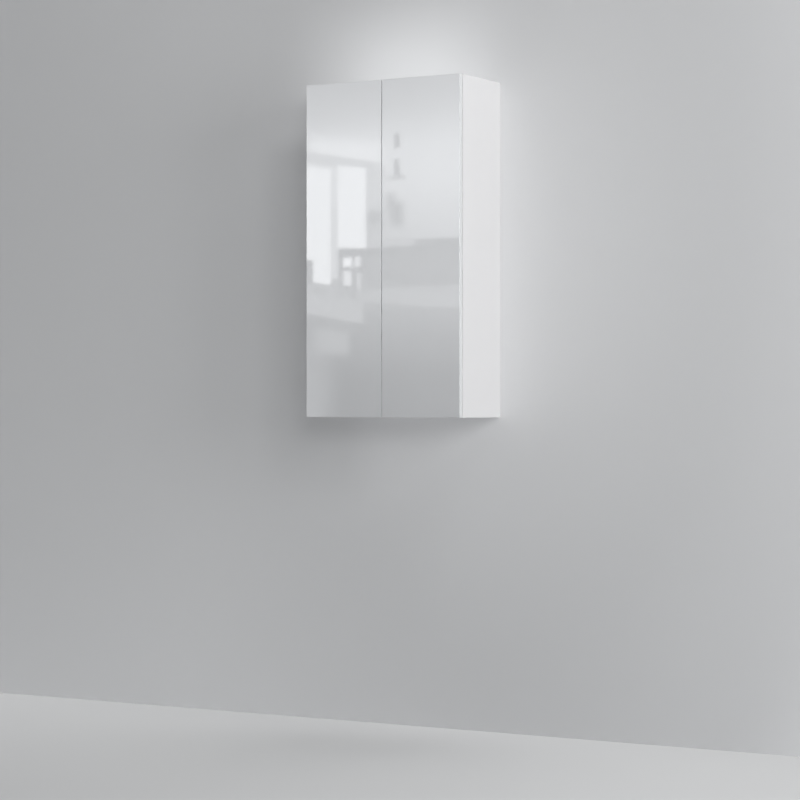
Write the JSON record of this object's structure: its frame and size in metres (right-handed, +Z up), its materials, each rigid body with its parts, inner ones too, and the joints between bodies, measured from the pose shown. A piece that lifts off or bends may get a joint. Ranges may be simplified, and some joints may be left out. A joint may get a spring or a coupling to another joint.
{
  "type": "over washing machine cabinet",
  "caption": "Wall-hung cabinet with handle-less gloss doors on concealed hinges, push latches, loose shelves on pins and adjustable wall hangers.",
  "frame": {"origin": "middle of the underside, at the bottom centre of the whole cabinet", "axes": "+Z up, along the height; the doors face -Y and the wall is at +Y; +X is to the right seen from the front"},
  "size_m": [0.51, 0.24, 0.965],
  "materials": {
    "door_lacquer": "fibreboard with white high-gloss lacquer",
    "white_board": "chipboard with white satin melamine and edge bands",
    "shelf_board": "chipboard with white satin melamine and edge bands",
    "hardboard": "thin fibreboard, white in front and brown behind",
    "beech": "fluted beech dowel",
    "nickel": "nickel-plated steel",
    "hinge_steel": "nickel-plated pressed steel",
    "zinc_steel": "zinc-plated steel strip",
    "white_plastic": "moulded white plastic",
    "grey_plastic": "moulded grey plastic",
    "pale_plastic": "moulded pale grey plastic",
    "clear_rubber": "soft clear pad"
  },
  "bodies": {
    "carcass": {"side_panel_left": "white_board", "side_panel_right": "white_board", "top_panel": "white_board", "bottom_panel": "white_board", "back_panel": "hardboard", "shelf_lower": "shelf_board", "shelf_middle": "shelf_board", "shelf_upper": "shelf_board", "shelf_pin_lower_left_front": "nickel", "shelf_pin_lower_left_rear": "nickel", "shelf_pin_lower_right_front": "nickel", "shelf_pin_lower_right_rear": "nickel", "shelf_pin_middle_left_front": "nickel", "shelf_pin_middle_left_rear": "nickel", "shelf_pin_middle_right_front": "nickel", "shelf_pin_middle_right_rear": "nickel", "shelf_pin_upper_left_front": "nickel", "shelf_pin_upper_left_rear": "nickel", "shelf_pin_upper_right_front": "nickel", "shelf_pin_upper_right_rear": "nickel", "dowel_bottom_left_front": "beech", "dowel_bottom_left_rear": "beech", "dowel_bottom_right_front": "beech", "dowel_bottom_right_rear": "beech", "dowel_top_left_front": "beech", "dowel_top_left_rear": "beech", "dowel_top_right_front": "beech", "dowel_top_right_rear": "beech", "hinge_arm_left_lower": "hinge_steel", "hinge_arm_left_upper": "hinge_steel", "hinge_arm_right_lower": "hinge_steel", "hinge_arm_right_upper": "hinge_steel", "hinge_plate_left_lower": "hinge_steel", "hinge_plate_left_upper": "hinge_steel", "hinge_plate_right_lower": "hinge_steel", "hinge_plate_right_upper": "hinge_steel", "latch_housing_left": "grey_plastic", "latch_housing_right": "grey_plastic", "hanger_housing_left": "white_plastic", "hanger_housing_right": "white_plastic", "hanger_hook_left": "zinc_steel", "hanger_hook_right": "zinc_steel"},
    "left_links": {"hinge_link_left_lower": "hinge_steel", "hinge_link_left_upper": "hinge_steel"},
    "left_door": {"door_left": "door_lacquer", "hinge_cup_left_lower": "hinge_steel", "hinge_cup_left_upper": "hinge_steel", "strike_plate_left": "nickel", "bumper_left_bottom": "clear_rubber", "bumper_left_top": "clear_rubber"},
    "right_links": {"hinge_link_right_lower": "hinge_steel", "hinge_link_right_upper": "hinge_steel"},
    "right_door": {"door_right": "door_lacquer", "hinge_cup_right_lower": "hinge_steel", "hinge_cup_right_upper": "hinge_steel", "strike_plate_right": "nickel", "bumper_right_bottom": "clear_rubber", "bumper_right_top": "clear_rubber"},
    "left_plunger": {"latch_plunger_left": "pale_plastic"},
    "right_plunger": {"latch_plunger_right": "pale_plastic"}
  },
  "joints": [
    {"name": "left_link_swing", "type": "hinge", "parent": "carcass", "child": "left_links", "pos_m": [-0.2243, -0.0848, 0.4825], "axis": [0, 0, 1], "range_deg": [0, 27.5]},
    {"name": "left_door_swing", "type": "hinge", "parent": "left_links", "child": "left_door", "pos_m": [-0.247, -0.1089, 0.4825], "axis": [0, 0, -1], "range_deg": [0, 137.5]},
    {"name": "right_link_swing", "type": "hinge", "parent": "carcass", "child": "right_links", "pos_m": [0.2243, -0.0848, 0.4825], "axis": [0, 0, -1], "range_deg": [0, 27.5]},
    {"name": "right_door_swing", "type": "hinge", "parent": "right_links", "child": "right_door", "pos_m": [0.247, -0.1089, 0.4825], "axis": [0, 0, 1], "range_deg": [0, 137.5]},
    {"name": "left_latch_push", "type": "slide", "parent": "carcass", "child": "left_plunger", "axis": [0, 1, 0], "range_m": [0, 0.0012], "stiffness_N_per_m": 400},
    {"name": "right_latch_push", "type": "slide", "parent": "carcass", "child": "right_plunger", "axis": [0, 1, 0], "range_m": [0, 0.0012], "stiffness_N_per_m": 400}
  ],
  "couplings": [
    {"joint": "left_link_swing", "follows": "left_door_swing", "ratio": 0.2},
    {"joint": "right_link_swing", "follows": "right_door_swing", "ratio": 0.2}
  ]
}
